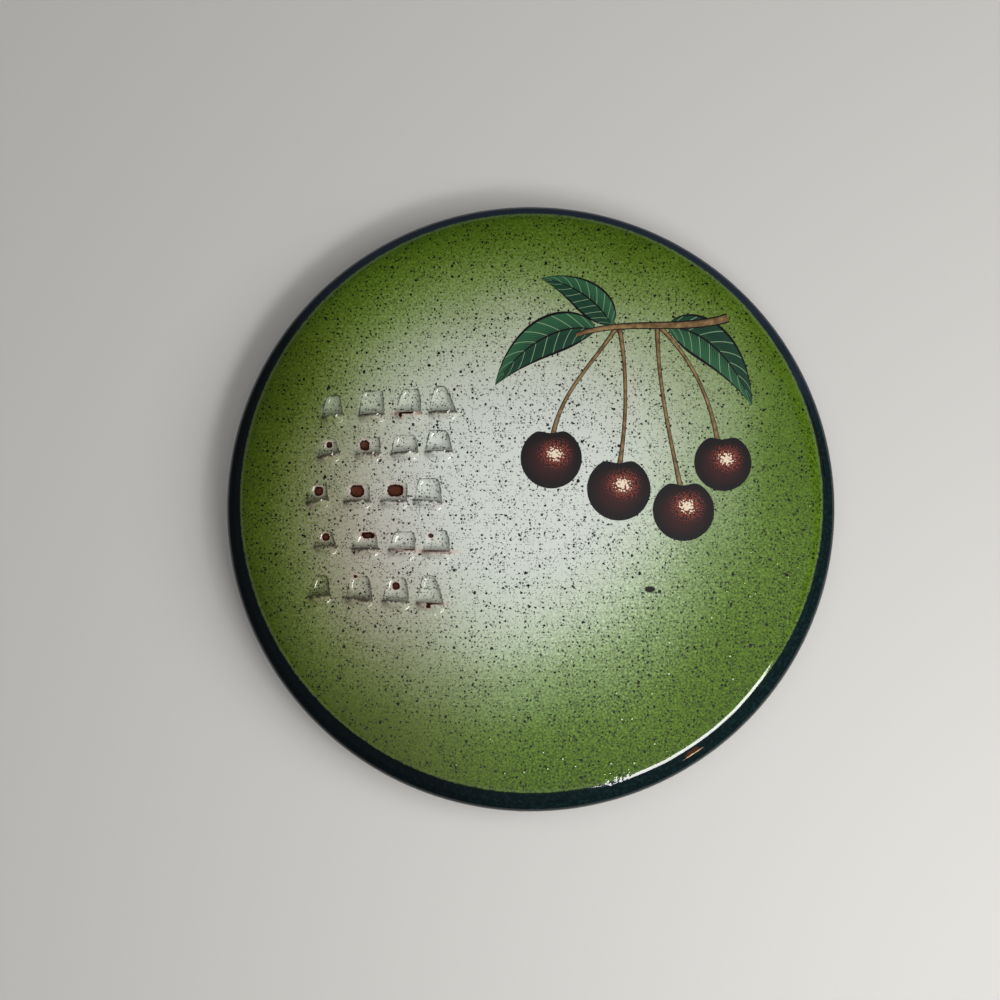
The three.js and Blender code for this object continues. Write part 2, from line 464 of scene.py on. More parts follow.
# %% Keep the bare spots and thin edges on the face
BARE_SPOTS = {
    (1, 3): [(-0.45, -0.05, 1.8, 0.36), (-1.5, -0.6, 0.36, 0.42)],
    (2, 1): [(0, 2.1, 0.6, 0.6)],
    (2, 2): [(-0.7, 1.75, 0.95, 1.0)],
    (3, 1): [(0.1, 2.0, 0.9, 0.9)],
    (3, 2): [(-0.1, 2.0, 1.4, 1.2)],
    (3, 3): [(0.2, 2.15, 1.65, 1.2)],
    (4, 1): [(-0.1, 1.9, 0.75, 0.75)],
    (4, 2): [(0.45, 2.55, 1.35, 0.6)],
    (4, 3): [(1.3, 0, 1.2, 0.2)],
    (4, 4): [(-1.2, 3.05, 0.5, 0.5), (0, 0, 2.1, 0.22)],
    (5, 2): [(-0.8, 4.3, 0.4, 0.3)],
    (5, 3): [(-0.1, 2.95, 0.75, 0.75)],
    (5, 4): [(0.5, -0.05, 1.5, 0.24), (-0.3, -0.5, 0.45, 0.5)],
}
SQUARE = 2.6
FAR_OUTSIDE = -2.0


def store(piece, name, values):
    """Keeps one number for each point of a piece, for its finish to read."""
    layer = piece.data.attributes.new(name, "FLOAT", "POINT")
    layer.data.foreach_set("value", np.asarray(values, dtype=np.float32))


def group_weight(piece, name):
    """The weight of each point of a piece in a group."""
    index = piece.vertex_groups[name].index
    return [sum(m.weight for m in point.groups if m.group == index) for point in piece.data.vertices]


places = np.empty(3 * len(face.data.vertices))
face.data.vertices.foreach_get("co", places)
places = places.reshape(-1, 3) / MM
bare = np.full(len(places), FAR_OUTSIDE)
for (row, column), spots in BARE_SPOTS.items():
    middle = teeth[row - 1][column - 1].middle
    for x, y, half_width, half_height in spots:
        across = (places[:, 0] - middle.x - x) / half_width
        along = (places[:, 1] - middle.y - y) / half_height
        away = (abs(across) ** SQUARE + abs(along) ** SQUARE) ** (1 / SQUARE)
        bare = np.maximum(bare, (1 - away) * min(half_width, half_height))
store(face, "bare", bare)
for name in ("edge", *THIN_ROWS):
    store(face, "thin_" + name, group_weight(face, name))
settle(face, "field_glaze", "field_glaze", *[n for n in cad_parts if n.startswith("tooth_")])
count = sum(len(spots) for spots in BARE_SPOTS.values())
print("bare spots:", count, "covering", int((bare > 0).sum()), "points")

# %% [markdown]
# The rim and the clay under it are round, as a potter's wheel leaves them. So each is drawn as a profile,
# point by point, and spun about the plate's upright axis. Rings that must stay sharp get a crease before
# it is smoothed.

# %% Helpers for turned pieces
TURN_STEPS = 180
WELD, NEAR = 0.002, 0.01


def turned(name, profile):
    """Draws a profile of (radius, height) points in millimetres and spins it into a closed piece."""
    start_clean()
    bpy.ops.mesh.primitive_plane_add(size=MM)
    piece = named(name)
    edit(piece)
    pick_all()
    bpy.ops.mesh.merge(type="CENTER")
    move(profile[0][0], 0, profile[0][1])
    for (from_r, from_z), (to_r, to_z) in zip(profile, profile[1:]):
        step = ((to_r - from_r) * MM, 0, (to_z - from_z) * MM)
        bpy.ops.mesh.extrude_vertices_move(TRANSFORM_OT_translate={"value": step})
    pick_all()
    bpy.ops.mesh.spin(steps=TURN_STEPS, angle=2 * math.pi, center=(0, 0, 0), axis=(0, 0, 1))
    pick_all()
    bpy.ops.mesh.remove_doubles(threshold=WELD * MM)
    face_outwards()
    return piece


def crease_ring(piece, radius, height):
    """Creases one ring of an open turned piece all the way."""
    pick(piece, lambda p: abs(math.hypot(p.x, p.y) - radius) < NEAR and abs(p.z - height) < NEAR)
    crease(1)


print("turned pieces are spun in steps of", 360 / TURN_STEPS, "degrees")

# %% [markdown]
# The dark glaze goes over the shoulder and down the side, and stops a little above the table in a rounded
# bead, because a wet edge of glaze draws up thick. The shoulder falls away slowly at first, which
# stretches the lamp's reflection into a long streak, and then turns down.

# %% The dark rim
TUCK = 0.1
RIM_OUTSIDE = [
    (FACE_EDGE - TUCK, SEAM + 0.035), (58.4, SEAM - 0.21), (58.8, SEAM - 0.44), (59.2, SEAM - 0.72),
    (59.5, SEAM - 1.02), (59.75, SEAM - 1.42), (59.92, 7.2), (PLATE_RADIUS, 6.3), (59.98, 5.0),
    (59.84, 3.9), (59.6, 2.7), (59.38, 1.95),
]
RIM_BEAD = [(59.12, GLAZE_LINE + 0.04), (58.9, 1.72), (58.8, 1.95)]
CLAY_SIDE = [
    (58.75, 1.95), (59.15, 2.6), (59.35, 3.6), (59.5, 4.8), (59.5, 6.2), (59.3, 7.1), (58.85, 7.8),
    (58.4, 8.2), (FACE_EDGE - TUCK, 8.4),
]
BEAD_TOP, BEAD_WANDER, BEAD_SEED = 2, 0.12, 7

rim = turned("rim_band", RIM_OUTSIDE + RIM_BEAD + CLAY_SIDE[1:] + RIM_OUTSIDE[:1])
for radius, height in (RIM_OUTSIDE[0], CLAY_SIDE[-1]):
    crease_ring(rim, radius, height)
pick(rim, lambda p: p.z < BEAD_TOP)
bpy.ops.transform.vertex_random(offset=BEAD_WANDER * MM, seed=BEAD_SEED)
smooth(rim, 2)
settle(rim, "rim_glaze", "rim_glaze")

# %% [markdown]
# Under the glaze is the clay: a thick disc with a foot ring turned on it, so that the plate stands on a
# narrow circle. The foot's edges are softened with a sponge before firing. Most of it is out of sight in
# the photograph, but one sees it when the plate is picked up.

# %% The clay base with its foot ring
FOOT_WIDTH = 5
FOOT_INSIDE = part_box("foot_ring")[1].x / MM - FOOT_WIDTH
CLAY_TOP = [(0, FACE_BACK), (30, FACE_BACK), (FACE_EDGE - TUCK, FACE_BACK)]
CLAY_UNDER = [
    (58.0, UNDERSIDE + 0.05), (57.0, UNDERSIDE), (50, UNDERSIDE), (44.2, UNDERSIDE),
    (43.0, UNDERSIDE - 0.12),
]
FOOT = [
    (FOOT_RADIUS - 0.22, 0.75), (FOOT_RADIUS - 0.42, 0.18), (FOOT_RADIUS - 1.0, 0), (FOOT_RADIUS - 2.5, 0),
    (FOOT_INSIDE + 1.0, 0), (FOOT_INSIDE + 0.42, 0.18), (FOOT_INSIDE + 0.22, 0.75),
]
CLAY_WELL = [
    (FOOT_INSIDE, UNDERSIDE - 0.12), (36.8, UNDERSIDE), (28, UNDERSIDE + 0.08), (14, UNDERSIDE + 0.12),
    (0, UNDERSIDE + 0.12),
]

base = turned("clay_base", CLAY_TOP + CLAY_SIDE[::-1] + CLAY_UNDER + FOOT + CLAY_WELL)
for radius, height in (CLAY_TOP[-1], CLAY_SIDE[-1]):
    crease_ring(base, radius, height)
smooth(base, 2)
settle(base, "clay", "clay_body", "foot_ring")

# %% [markdown]
# The print is a small sprig of cherries, fired onto the glaze. Each part is a very thin slab that lies on
# the face: stalks and leaves are strips laid along a curve, one row of points at a time, and the fruit is
# a filled circle with a dent. The layers differ by thousandths of a millimetre, so that the fruit covers
# the stalk and the stalk covers the leaf.

# %% Helpers for the print
PRINT_THICKNESS = 0.03
LEAF_LAYER, STALK_LAYER, TWIG_LAYER, FRUIT_LAYER = 0.004, 0.007, 0.010, 0.014
STRIP_COLUMNS = 4


def press(piece, layer):
    """Gives a flat part of the print its thickness, at its own height above the face."""
    edit(piece)
    pick_all()
    move(0, 0, TOP + layer)
    modifier = piece.modifiers.new("Thickness", "SOLIDIFY")
    modifier.thickness = PRINT_THICKNESS * MM
    modifier.offset = 1
    finish_modifiers(piece)
    bpy.ops.object.shade_flat()


def strip(name, rows, curve, width):
    """A strip of the print along a curve of four points, as wide as width says at each share of it."""
    start_clean()
    bpy.ops.mesh.primitive_grid_add(x_subdivisions=STRIP_COLUMNS, y_subdivisions=rows, size=MM)
    piece = named(name)
    stops = interpolate_bezier(*[Vector(stop) for stop in curve], rows + 1)
    edit(piece)
    for row, stop in enumerate(stops):
        ahead = stops[min(row + 1, rows)] - stops[max(row - 1, 0)]
        shape = bmesh.from_edit_mesh(piece.data)
        shape.verts.ensure_lookup_table()
        for index, point in enumerate(shape.verts):
            point.select_set(index // (STRIP_COLUMNS + 1) == row)
        shape.select_flush_mode()
        middle = (0, row / rows - 0.5, 0)
        turn = math.atan2(ahead.y, ahead.x) - math.pi / 2
        stretch(width(row / rows), 1, 1, middle)
        bpy.ops.transform.rotate(value=-turn, orient_axis="Z", center_override=Vector(middle) * MM)
        move(stop.x, stop.y - middle[1], 0)
    return piece


print("print is", PRINT_THICKNESS, "mm thick")

# %% [markdown]
# Leaves are broad near the stalk and end in a point: their width is a half wave, pushed towards the
# stalk. Smoothing the strip once before it is pressed rounds its outline.

# %% Leaves, twig and stalks
LEAVES = {
    "leaf_right": ([(27, 34.5), (33, 35), (40, 29), (43.5, 19)], 8.2),
    "leaf_left": ([(13, 34), (6, 36), (-2, 31), (-7, 23)], 8.0),
    "leaf_top": ([(16, 35), (14, 39), (9, 43.5), (2, 44.5)], 6.6),
}
TWIG = [(39, 36.5), (30, 33.5), (18, 36.5), (9, 33)]
STALKS = {
    "stalk_west": [(17, 34.7), (13, 28), (6, 22), (4.4, 13.2)],
    "stalk_middle": [(17.5, 34.7), (19, 26), (19, 17), (17.4, 7.2)],
    "stalk_south": [(25, 34.7), (25, 24), (27, 14), (29.2, 3.0)],
    "stalk_east": [(25.5, 34.7), (31, 29), (35, 22), (36.6, 12.0)],
}
LEAF_ROWS, LEAF_PUSH, LEAF_FULL, LEAF_TIP = 28, 0.75, 0.9, 0.12
TWIG_ROWS, TWIG_WIDTH, TWIG_TAPER = 30, 1.9, 0.9
STALK_ROWS, STALK_WIDTH, STALK_FLARE = 24, 0.75, 0.35


def leaf_width(widest):
    """A rule for how wide a leaf is at each share of its length."""
    return lambda share: max(widest * math.sin(math.pi * share ** LEAF_PUSH) ** LEAF_FULL, LEAF_TIP)


leaves = []
for name, (curve, widest) in LEAVES.items():
    leaf = strip(name, LEAF_ROWS, curve, leaf_width(widest))
    smooth(leaf, 1)
    press(leaf, LEAF_LAYER)
    leaves.append(leaf)
twig = strip("twig", TWIG_ROWS, TWIG, lambda share: TWIG_WIDTH - TWIG_TAPER * share)
press(twig, TWIG_LAYER)
stalks = []
for name, curve in STALKS.items():
    stalk = strip(name, STALK_ROWS, curve, lambda share: STALK_WIDTH + STALK_FLARE * (2 * share - 1) ** 4)
    press(stalk, STALK_LAYER)
    stalks.append(stalk)
for piece in leaves + [twig] + stalks:
    settle(piece, "field_glaze")

# %% [markdown]
# One cherry is modelled: a circle whose top is pulled in a little, with the pull fading out round it. The
# others are copies with their own mesh, moved and scaled so that they don't look stamped.

# %% Cherries
CHERRIES = {
    "cherry_west": (4, 8.5, 6.0),
    "cherry_middle": (17.2, 2.4, 6.2),
    "cherry_south": (29.8, -1.8, 6.0),
    "cherry_east": (37.6, 7.6, 5.6),
}
CHERRY_RADIUS, CHERRY_POINTS = 6, 72
DENT, DENT_REACH = 1.1, 3.4

start_clean()
bpy.ops.mesh.primitive_circle_add(vertices=CHERRY_POINTS, radius=CHERRY_RADIUS * MM, fill_type="NGON")
cherry = bpy.context.active_object
edit(cherry)
pick(cherry, lambda p: p.y > CHERRY_RADIUS - NEAR)
bpy.ops.transform.translate(
    value=(0, -DENT * MM, 0),
    use_proportional_edit=True,
    proportional_edit_falloff="SMOOTH",
    proportional_size=DENT_REACH * MM,
)
cherries = []
for name, (x, y, radius) in CHERRIES.items():
    choose(cherry)
    bpy.ops.object.duplicate()
    copy = named(name)
    edit(copy)
    pick_all()
    stretch(radius / CHERRY_RADIUS, radius / CHERRY_RADIUS, 1)
    move(x, y, 0)
    press(copy, FRUIT_LAYER)
    settle(copy, "field_glaze")
    cherries.append(copy)
bpy.data.objects.remove(cherry)

# %% [markdown]
# Finishes are built from nodes: put adds a node and joins its inputs, calc does sums, blend lays one
# colour over another, fade turns a number into a soft step, and waver pushes a number up and down with
# soft noise. They add to tree, the nodes of the finish in hand, which every finish sets first. Patterns
# are laid out in millimetres on the plate, so they stay put whichever way it is seen.

# %% Helpers for finishes
MIDDLE = (0, 0, 0)
SPECK_SOFT = 0.05


def colour(red, green, blue):
    """A colour as one reads it off a screen, made linear for the shader."""
    parts = [part / 255 for part in (red, green, blue)]
    return (*[part / 12.92 if part <= 0.04045 else ((part + 0.055) / 1.055) ** 2.4 for part in parts], 1)


def start_finish(name, even, *pieces):
    """Lays a new material on pieces, with what is even all over it. Gives its nodes and its shader."""
    material = bpy.data.materials.new(name)
    material.use_nodes = True
    nodes = material.node_tree.nodes
    nodes.clear()
    shader = nodes.new("ShaderNodeBsdfPrincipled")
    output = nodes.new("ShaderNodeOutputMaterial")
    material.node_tree.links.new(shader.outputs["BSDF"], output.inputs["Surface"])
    for part, value in even.items():
        shader.inputs[part].default_value = value
    for piece in pieces:
        piece.data.materials.append(material)
    return material.node_tree, shader


def join(value, socket):
    """Links a value that comes from a node, or sets one that is the same all over."""
    if isinstance(value, bpy.types.NodeSocket):
        tree.links.new(value, socket)
    else:
        socket.default_value = value


def put(kind, inputs, **settings):
    """Adds a node with its settings, and joins its inputs."""
    node = tree.nodes.new("ShaderNode" + kind)
    for name, value in settings.items():
        setattr(node, name, value)
    for name, value in inputs.items():
        join(value, node.inputs[name])
    return node


def calc(operation, *values):
    return put("Math", dict(enumerate(values)), operation=operation).outputs[0]


def times(value, amount):
    return calc("MULTIPLY", value, amount)


def plus(value, amount, base):
    """So much of a value on top of a base."""
    return calc("MULTIPLY_ADD", value, amount, base)


def calc_place(operation, *places):
    """A sum on all three parts of a place at once."""
    return put("VectorMath", dict(enumerate(places)), operation=operation).outputs["Vector"]


def blend(share, under, over, how="MIX"):
    """One colour laid over another, as far as share says."""
    inputs = {0: share, 6: under, 7: over}
    return put("Mix", inputs, data_type="RGBA", blend_type=how).outputs[2]


def fade(value, start, end, low=0.0, high=1.0):
    """A soft step from low to high while the value goes from start to end."""
    names = ("Value", "From Min", "From Max", "To Min", "To Max")
    inputs = dict(zip(names, (value, start, end, low, high)))
    return put("MapRange", inputs, interpolation_type="SMOOTHSTEP").outputs["Result"]


def ramp(value, stops):
    """Colours along a scale, each at its place from 0 to 1."""
    node = put("ValToRGB", {"Fac": value})
    elements = node.color_ramp.elements
    for index, (place, shade) in enumerate(stops):
        element = elements[index] if index < 2 else elements.new(place)
        element.position = place
        element.color = shade
    return node.outputs["Color"]


def cloud(place, size, detail=2.0):
    """Soft noise about 0, with lumps of the given size in millimetres."""
    noise = put("TexNoise", {"Vector": place, "Scale": 1 / size, "Detail": detail})
    return calc("SUBTRACT", noise.outputs["Fac"], 0.5)


def waver(value, place, size, amount, detail=2.0):
    """A value that soft noise pushes up and down."""
    return plus(cloud(place, size, detail), amount, value)


def plate_place():
    """The place on the plate in millimetres."""
    place = put("TexCoord", {}).outputs["Object"]
    return calc_place("MULTIPLY", place, (1 / MM, 1 / MM, 1 / MM))


def from_above(place):
    """The same place with its height taken out."""
    return calc_place("MULTIPLY", place, (1, 1, 0))


def distance(place, point):
    return put("VectorMath", {0: place, 1: point}, operation="DISTANCE").outputs["Value"]


def how_far(place, direction):
    """How far the place lies in a direction."""
    return put("VectorMath", {0: place, 1: direction}, operation="DOT_PRODUCT").outputs["Value"]


def in_ellipse(flat, middle, turn, size):
    """How far out a place lies in a turned ellipse: 0 in its middle, 1 on its outline."""
    inputs = {"Vector": flat, "Location": middle, "Rotation": (0, 0, math.radians(turn)), "Scale": size}
    return distance(put("Mapping", inputs, vector_type="TEXTURE").outputs[0], MIDDLE)


def cells_of(place, size):
    """Cells of a size in millimetres, each about a point of its own."""
    return put("TexVoronoi", {"Vector": place, "Scale": 1 / size}, voronoi_dimensions="2D").outputs


def specks(place, cell, smallest, largest, share):
    """Round specks, one to a cell of the given size, on a share of the cells. 1 inside a speck."""
    cells = cells_of(place, cell)
    chance = put("SeparateColor", {"Color": cells["Color"]}).outputs
    radius = plus(chance["Red"], (largest - smallest) / cell, smallest / cell)
    there = calc("LESS_THAN", chance["Green"], share)
    inside = calc("SUBTRACT", radius, cells["Distance"])
    soft = SPECK_SOFT / cell
    return times(fade(inside, -soft, soft), there)


def speckle(shade, place, kind, strength, ink):
    """Lays specks of one kind over a colour."""
    return blend(times(specks(place, *kind), strength), shade, ink)


def dress(shader, shade, rough, height):
    """Joins a colour, a roughness and a fine relief in millimetres to a shader."""
    join(shade, shader.inputs["Base Color"])
    join(rough, shader.inputs["Roughness"])
    bump = put("Bump", {"Height": height, "Distance": MM})
    join(bump.outputs["Normal"], shader.inputs["Normal"])


print("colour 128 is", round(colour(128, 128, 128)[0], 3), "in the shader")

# %% [markdown]
# The glaze of the face is sprayed: dense green from the edge, thinning to grey-white in the middle, with a
# fine grain where the spray breaks up. Two scales of colours, read by the distance from the middle, give
# the fade: to the north-west it starts later and ends darker. To the east the fade is moved a little
# outwards, so the face is paler there, and to the south-east it is finely dappled. Iron in the clay burns
# through as dark specks of three sizes, in loose clusters, and one long fleck.

# %% The sprayed colour of the face
SPRAY = [  # millimetres from the middle, colour to the south-east, colour to the north-west
    (10, (205, 210, 204), (204, 209, 202)),
    (20, (190, 201, 181), (197, 202, 193)),
    (28, (163, 182, 146), (186, 191, 177)),
    (34, (126, 149, 97), (170, 178, 154)),
    (45, (85, 113, 36), (113, 135, 73)),
    (51, (75, 103, 19), (79, 104, 27)),
    (57, (67, 95, 9), (55, 80, 4)),
]
SPRAY_FROM, SPRAY_TURN = (-0.64, 0.77, 0), (-34, 14)
EASTWARD, EAST_TURN, EAST_PALER = (0.97, 0.26, 0), (29, 42), -3.0
SCALE_END = 60
PATCHES, GRAIN = (28, 10.0), (0.5, 18.0)
DAPPLE, DAPPLE_TURN, DAPPLE_GAIN = 0.42, (-5, -45), 3.0
SPECKS = [  # cell, smallest and largest radius, share of the cells, strength
    (0.45, 0.06, 0.13, 0.5, 0.85),
    (0.95, 0.1, 0.23, 0.45, 1.0),
    (3.6, 0.18, 0.32, 0.38, 1.0),
]
SPECK_COLOUR = colour(12, 14, 7)
RAGGED, RAGGED_SCALE = (0.7, 0.7, 0), 2.6
CLUSTER, CLUSTER_SIZE = 2.0, 2.5
FLECK, FLECK_EDGE = ((23.1, -17.2, 0), 0, (1.7, 1, 1)), (0.7, 0.5)


def sprayed_colour(place):
    """The field's colour with its specks."""
    flat = from_above(place)
    reach = distance(flat, MIDDLE)
    for lumps in (PATCHES, GRAIN):
        reach = waver(reach, place, *lumps)
    reach = plus(fade(how_far(flat, EASTWARD), *EAST_TURN), EAST_PALER, reach)
    reach = calc("DIVIDE", reach, SCALE_END)
    towards = how_far(flat, SPRAY_FROM)
    sides = [ramp(reach, [(row[0] / SCALE_END, colour(*row[side])) for row in SPRAY]) for side in (1, 2)]
    shade = blend(fade(towards, *SPRAY_TURN), *sides)
    light = waver(1.0, place, DAPPLE, fade(towards, *DAPPLE_TURN, 0.0, DAPPLE_GAIN))
    shade = put("HueSaturation", {"Color": shade, "Value": light}).outputs["Color"]
    noise = put("TexNoise", {"Vector": place, "Scale": RAGGED_SCALE, "Detail": 2.0})
    push = calc_place("SUBTRACT", noise.outputs["Color"], (0.5, 0.5, 0.5))
    ragged = calc_place("MULTIPLY_ADD", push, RAGGED, flat)
    uneven = cloud(place, CLUSTER_SIZE)
    for cell, smallest, largest, share, strength in SPECKS:
        kind = (cell, smallest, largest, plus(uneven, CLUSTER, share))
        shade = speckle(shade, ragged, kind, strength, SPECK_COLOUR)
    return blend(fade(in_ellipse(flat, *FLECK), *FLECK_EDGE), shade, SPECK_COLOUR)


print("face colours: two scales of", len(SPRAY), "stops,", len(SPECKS), "sizes of speck")

# %% [markdown]
# Where the two glazes meet they run into each other: first a thin pale band where the green is washed out,
# then dark with a ragged edge. Both are darker to the west, and that is painted shade: the green browner,
# the rim almost black.
# The same nodes serve both pieces, so that neither side of the seam can be told from the other.

# %% The colour of both glazes
# The navy is partly a painted reflection of the sky: the rim is greyer towards the north.
RIM_NAVY_AND_SKY_SHEEN, RIM_TEAL = colour(32, 38, 52), colour(7, 21, 23)
RIM_NORTH, NAVY_REACH, NAVY_WAVER = (8, 60, 0), (35, 80), (9, 60.0)
RIM_SPECK, RIM_DOTS, RIM_DOT_SHARE = colour(22, 44, 44), (0.5, 0.06, 0.14, 0.5), 0.5
MOTTLE_LUMP, MOTTLE = (0.7, 3.0), (-0.05, 0.2, 0.0, 0.55)
WESTWARD = (-0.94, -0.34, 0)
# Painted shade: both glazes are darkened towards the west, the rim to almost black.
RIM_WEST_PAINTED_SHADE, RIM_WEST_TURN = (0.22, 0.28, 0.36, 1), (10, 48)
WEST_PAINTED_SHADE, WEST_TURN = (0.84, 0.7, 0.74, 1), (12, 42)
BORDER_MIDDLE, BORDER_RADIUS = (0.15, 0.9, 0), 56.97
BORDER_WAVER, BORDER_EDGE = (0.7, 0.45), (-0.15, 0.15)
BORDER_PALE, PALE_BAND = colour(128, 146, 112), (-0.7, -0.3, 0.0, 0.18)
WORN_PATCH, WORN_SHADE = ((31.0, -48.35, 0), 32.5, (1.9, 0.6, 1)), colour(66, 40, 24)
# A painted glint: the thin bright line in the worn streak stands in for light off the chip's edge.
CHIP_GLINT_LINE, PAINTED_CHIP_GLINT = ((31.25, -48.7, 0), 32.5, (2.6, 0.12, 1)), colour(226, 192, 148)
PATCH_WAVER, PATCH_EDGE = (0.8, 0.9), (1.0, 0.35)


def ragged_patch(flat, *ellipse):
    """1 on an ellipse with a ragged outline."""
    return fade(waver(in_ellipse(flat, *ellipse), flat, *PATCH_WAVER), *PATCH_EDGE)


def rim_colour(place):
    """Dark glaze with a painted sky sheen to the north, painted shade to the west, fine specks and a worn
    streak with a painted glint.
    """
    flat = from_above(place)
    side = waver(distance(flat, RIM_NORTH), place, *NAVY_WAVER)
    # Painted sky reflection: greyer navy towards the north, dark teal elsewhere.
    shade = blend(fade(side, *NAVY_REACH), RIM_NAVY_AND_SKY_SHEEN, RIM_TEAL)
    shade = speckle(shade, place, RIM_DOTS, RIM_DOT_SHARE, RIM_SPECK)
    shade = blend(fade(cloud(place, *MOTTLE_LUMP), *MOTTLE), shade, RIM_SPECK)
    # Painted shade: the rim goes almost black towards the west.
    shade = blend(fade(how_far(flat, WESTWARD), *RIM_WEST_TURN), shade, RIM_WEST_PAINTED_SHADE, "MULTIPLY")
    shade = blend(ragged_patch(flat, *WORN_PATCH), shade, WORN_SHADE)
    # Painted glint along the worn streak.
    return blend(ragged_patch(flat, *CHIP_GLINT_LINE), shade, PAINTED_CHIP_GLINT)


def plate_colour(place):
    """The field inside the border, the rim outside it."""
    flat = from_above(place)
    past = calc("SUBTRACT", distance(flat, BORDER_MIDDLE), BORDER_RADIUS)
    past = waver(past, place, *BORDER_WAVER)
    shade = blend(fade(past, *PALE_BAND), sprayed_colour(place), BORDER_PALE)
    # Painted shade: the field darkens and browns towards the west.
    shade = blend(fade(how_far(flat, WESTWARD), *WEST_TURN), shade, WEST_PAINTED_SHADE, "MULTIPLY")
    return blend(fade(past, *BORDER_EDGE), shade, rim_colour(place))


print("border at", BORDER_RADIUS, "mm, solid field to", FIELD_RADIUS, "mm")

# %% [markdown]
# A glaze is glass, so it is glossy all over, with slow waves that you only notice in a reflection. The face
# also has little raised grains that each catch the lamp, and a patch of froth near the rim. All are a bump
# in the shader: shaped that fine, they would need millions of faces. The numbers kept on the face thin the
# glaze at the edges of the teeth, paint the ridges' shadow along the crests, and open the bare spots, which
# are matt.

# %% The finish of the face
GLAZE_IOR = 1.6
GRAIN_CELL, GRAIN_RADIUS, GRAIN_HEIGHT = 2.6, 0.4, 0.075
GRAIN_SHARE, GRAIN_REACH = 0.15, 55.0
WAVE, PEEL = (7, 0.03, 1.0), (0.6, 0.004)
FROTH, FROTH_HEIGHT, FROTH_LUMP = ((16.0, -52.9, 0), 17, (4.6, 1.9, 1)), 0.16, 0.8
FACE_ROUGH, GLOSS_WAVER = 0.055, (6, 0.05)
FINE_LUMP, WIDE_LUMP = 0.5, 2.4
POCKET_PALE, POCKET_SHARE, POCKET_TURN = colour(190, 197, 184), 0.3, (42, 30)
POCKET_SPECKS = (0.75, 0.08, 0.17, 0.6)
THIN_PINK, MOUND_PINK = colour(172, 148, 136), (-0.1, 0.2, 0.0, 0.32)
# The colour of the dark lines: thin glaze at the pockets' edges, thin glaze and painted shadow along the
# crests.
THIN_GLAZE_AND_SHADOW_LINE = colour(54, 48, 40)
THIN_GLAZE_AND_SHADOW_LINES = {"thin_edge": (0.5, 0.85, 1.1), "thin_crest_line_and_shadow": (0.46, 0.95, 1.2)}
LINE_ROUGH, LINE_WIDTH, LINE_FOOT = 0.9, 0.5, (0.05, 0.2)
CLEAR_OF_SPOT = (-0.7, -1.4)
CLAY_RED, CLAY_DARK, CLAY_HALO = colour(74, 35, 21), colour(22, 8, 4), colour(196, 164, 152)
SPOT_ROUGH, SPOT_HALO = 0.4, (-0.4, -0.08, 0.0, 0.5)
SPOT_EDGE, SPOT_MIDDLE = (-0.06, 0.06), (0.12, 0.6)
GLAZE_SHINE, BARE_SHINE, BARE_ROUGH = 0.5, 0.1, 0.35


def grains(flat):
    """Raised grains in the glaze, in millimetres of height."""
    cells = cells_of(flat, GRAIN_CELL)
    chance = put("SeparateColor", {"Color": cells["Color"]}).outputs
    there = calc("LESS_THAN", chance["Blue"], GRAIN_SHARE)
    inner = calc("LESS_THAN", distance(flat, MIDDLE), GRAIN_REACH)
    high = fade(cells["Distance"], GRAIN_RADIUS / GRAIN_CELL, 0, 0.0, GRAIN_HEIGHT)
    return times(high, times(there, inner))


def kept(name):
    """A number that was kept on the face."""
    return put("Attribute", {}, attribute_name=name).outputs["Fac"]


tree, shader = start_finish("speckled_glaze", {"IOR": GLAZE_IOR}, face)
place = plate_place()
flat = from_above(place)
fine, wide = cloud(place, FINE_LUMP), cloud(place, WIDE_LUMP)
shade = plate_colour(place)
pale = fade(how_far(flat, WESTWARD), *POCKET_TURN, 0.0, POCKET_SHARE)
shade = blend(times(kept("thin_pocket"), pale), shade, POCKET_PALE)
shade = speckle(shade, flat, POCKET_SPECKS, kept("thin_pocket"), SPECK_COLOUR)
shade = blend(times(kept("thin_mound"), fade(wide, *MOUND_PINK)), shade, THIN_PINK)
# Dark lines at the teeth: thin glaze at the pocket's edge, thin glaze and painted shadow along the crest.
for name, (start, strength, bend) in THIN_GLAZE_AND_SHADOW_LINES.items():
    line = plus(fine, LINE_ROUGH, kept(name))
    line = plus(wide, bend, line)
    line = times(line, fade(kept(name), *LINE_FOOT))
    if name == "thin_edge":
        line = times(line, fade(kept("bare"), *CLEAR_OF_SPOT))
    shade = blend(fade(line, start, start + LINE_WIDTH, 0.0, strength), shade, THIN_GLAZE_AND_SHADOW_LINE)
spot = plus(fine, SPOT_ROUGH, kept("bare"))
shade = blend(fade(spot, *SPOT_HALO), shade, CLAY_HALO)
is_bare = fade(spot, *SPOT_EDGE)
shade = blend(is_bare, shade, blend(fade(spot, *SPOT_MIDDLE), CLAY_DARK, CLAY_RED))
rough = plus(is_bare, BARE_ROUGH, waver(FACE_ROUGH, place, *GLOSS_WAVER))
height = grains(flat)
for lumps in (WAVE, PEEL):
    height = waver(height, place, *lumps)
froth = times(ragged_patch(flat, *FROTH), FROTH_HEIGHT)
height = waver(height, place, FROTH_LUMP, froth, 1.0)
dress(shader, shade, rough, height)
shine = plus(is_bare, BARE_SHINE - GLAZE_SHINE, GLAZE_SHINE)
join(shine, shader.inputs["Specular IOR Level"])
print("face finish:", len(tree.nodes), "nodes")

# %% [markdown]
# The rim takes the same colours, but its glaze is smoother, with no grains and only a slow wave. The worn
# streak is a little rougher.

# %% The finish of the rim
RIM_IOR = 1.45
RIM_ROUGH, RIM_GLOSS_WAVER, WORN_ROUGH = 0.07, (4, 0.05), 0.2
RIM_WAVE, RIM_PEEL = (3, 0.05), (0.7, 0.006)

